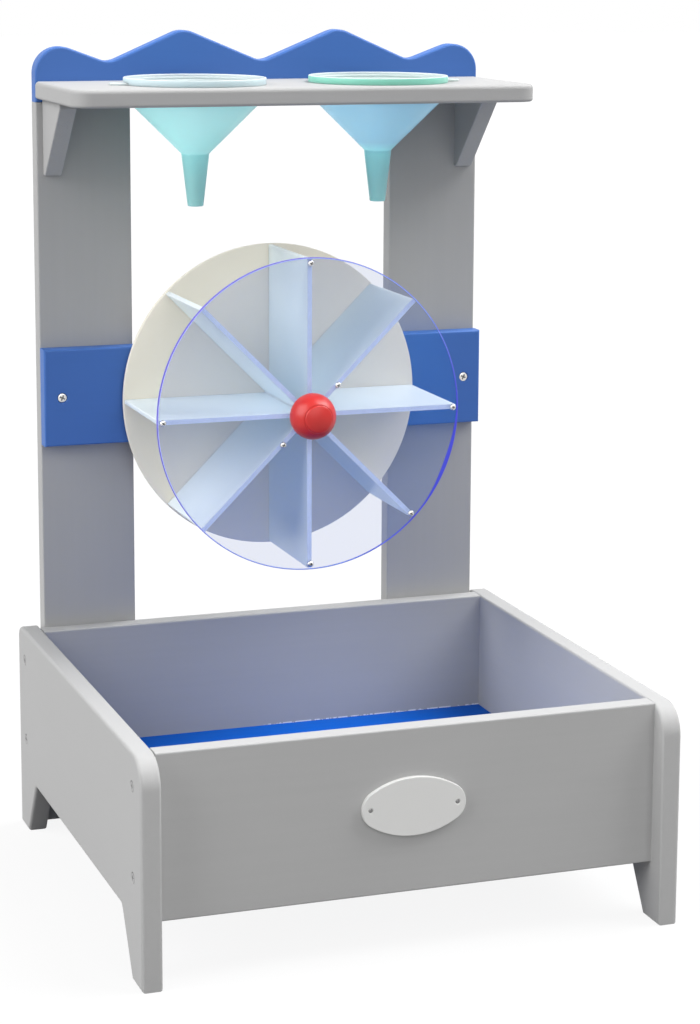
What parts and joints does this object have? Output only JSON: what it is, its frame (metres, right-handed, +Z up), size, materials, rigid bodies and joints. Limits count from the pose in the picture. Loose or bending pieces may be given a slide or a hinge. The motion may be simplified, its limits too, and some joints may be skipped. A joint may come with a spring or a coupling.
{
  "type": "sand wheel toy",
  "caption": "Painted wooden play tray on legs with an upright frame that carries a paddle wheel turned by sand poured through funnels in a shelf above it.",
  "frame": {"origin": "on the ground, at the middle of the footprint", "axes": "+Z up, -Y towards the front of the tray, +X to the viewer's right"},
  "size_m": [0.45, 0.426, 0.7111],
  "materials": {
    "grey_paint": "satin",
    "blue_paint": "satin",
    "floor_blue": "satin",
    "clear_acrylic": "polished",
    "white_plastic": "satin",
    "cream_plastic": "satin",
    "funnel_turquoise": "translucent",
    "funnel_blue": "translucent",
    "red_paint": "gloss",
    "badge_white": "satin",
    "zinc": "bright zinc",
    "steel": "brushed",
    "beech": "raw"
  },
  "bodies": {
    "frame": {"left_side_panel": "grey_paint", "right_side_panel": "grey_paint", "front_panel": "grey_paint", "back_panel": "grey_paint", "floor_panel": "floor_blue", "left_cleat": "grey_paint", "right_cleat": "grey_paint", "left_upright": "grey_paint", "right_upright": "grey_paint", "crossbar": "blue_paint", "shelf": "grey_paint", "left_bracket": "grey_paint", "right_bracket": "grey_paint", "crest": "blue_paint", "badge_plate": "badge_white", "badge_pins": "zinc", "axle_bolt": "steel", "back_washer": "zinc", "axle_nut": "zinc", "knob_washer": "zinc", "ball_knob": "red_paint", "crossbar_screws": "zinc", "left_side_screws": "grey_paint", "right_side_screws": "grey_paint", "cleat_screws": "zinc", "upright_screws": "zinc", "bracket_screws": "zinc", "shelf_screws": "zinc", "crest_dowels": "beech"},
    "wheel": {"rear_disc": "cream_plastic", "front_disc": "clear_acrylic", "hub_tube": "white_plastic", "blade_1": "white_plastic", "blade_2": "white_plastic", "blade_3": "white_plastic", "blade_4": "white_plastic", "blade_5": "white_plastic", "blade_6": "white_plastic", "blade_7": "white_plastic", "blade_8": "white_plastic", "front_disc_screws": "zinc", "rear_disc_screws": "zinc"},
    "left_funnel": {"left_funnel": "funnel_turquoise"},
    "right_funnel": {"right_funnel": "funnel_blue"}
  },
  "joints": [
    {"name": "wheel_spin", "type": "hinge", "parent": "frame", "child": "wheel", "pos_m": [0, 0.118, 0.388], "axis": [0, 1, 0], "continuous": true},
    {"name": "left_funnel_lift", "type": "slide", "parent": "frame", "child": "left_funnel", "axis": [0, 0, 1], "range_m": [0, 0.12]},
    {"name": "right_funnel_lift", "type": "slide", "parent": "frame", "child": "right_funnel", "axis": [0, 0, 1], "range_m": [0, 0.12]}
  ]
}
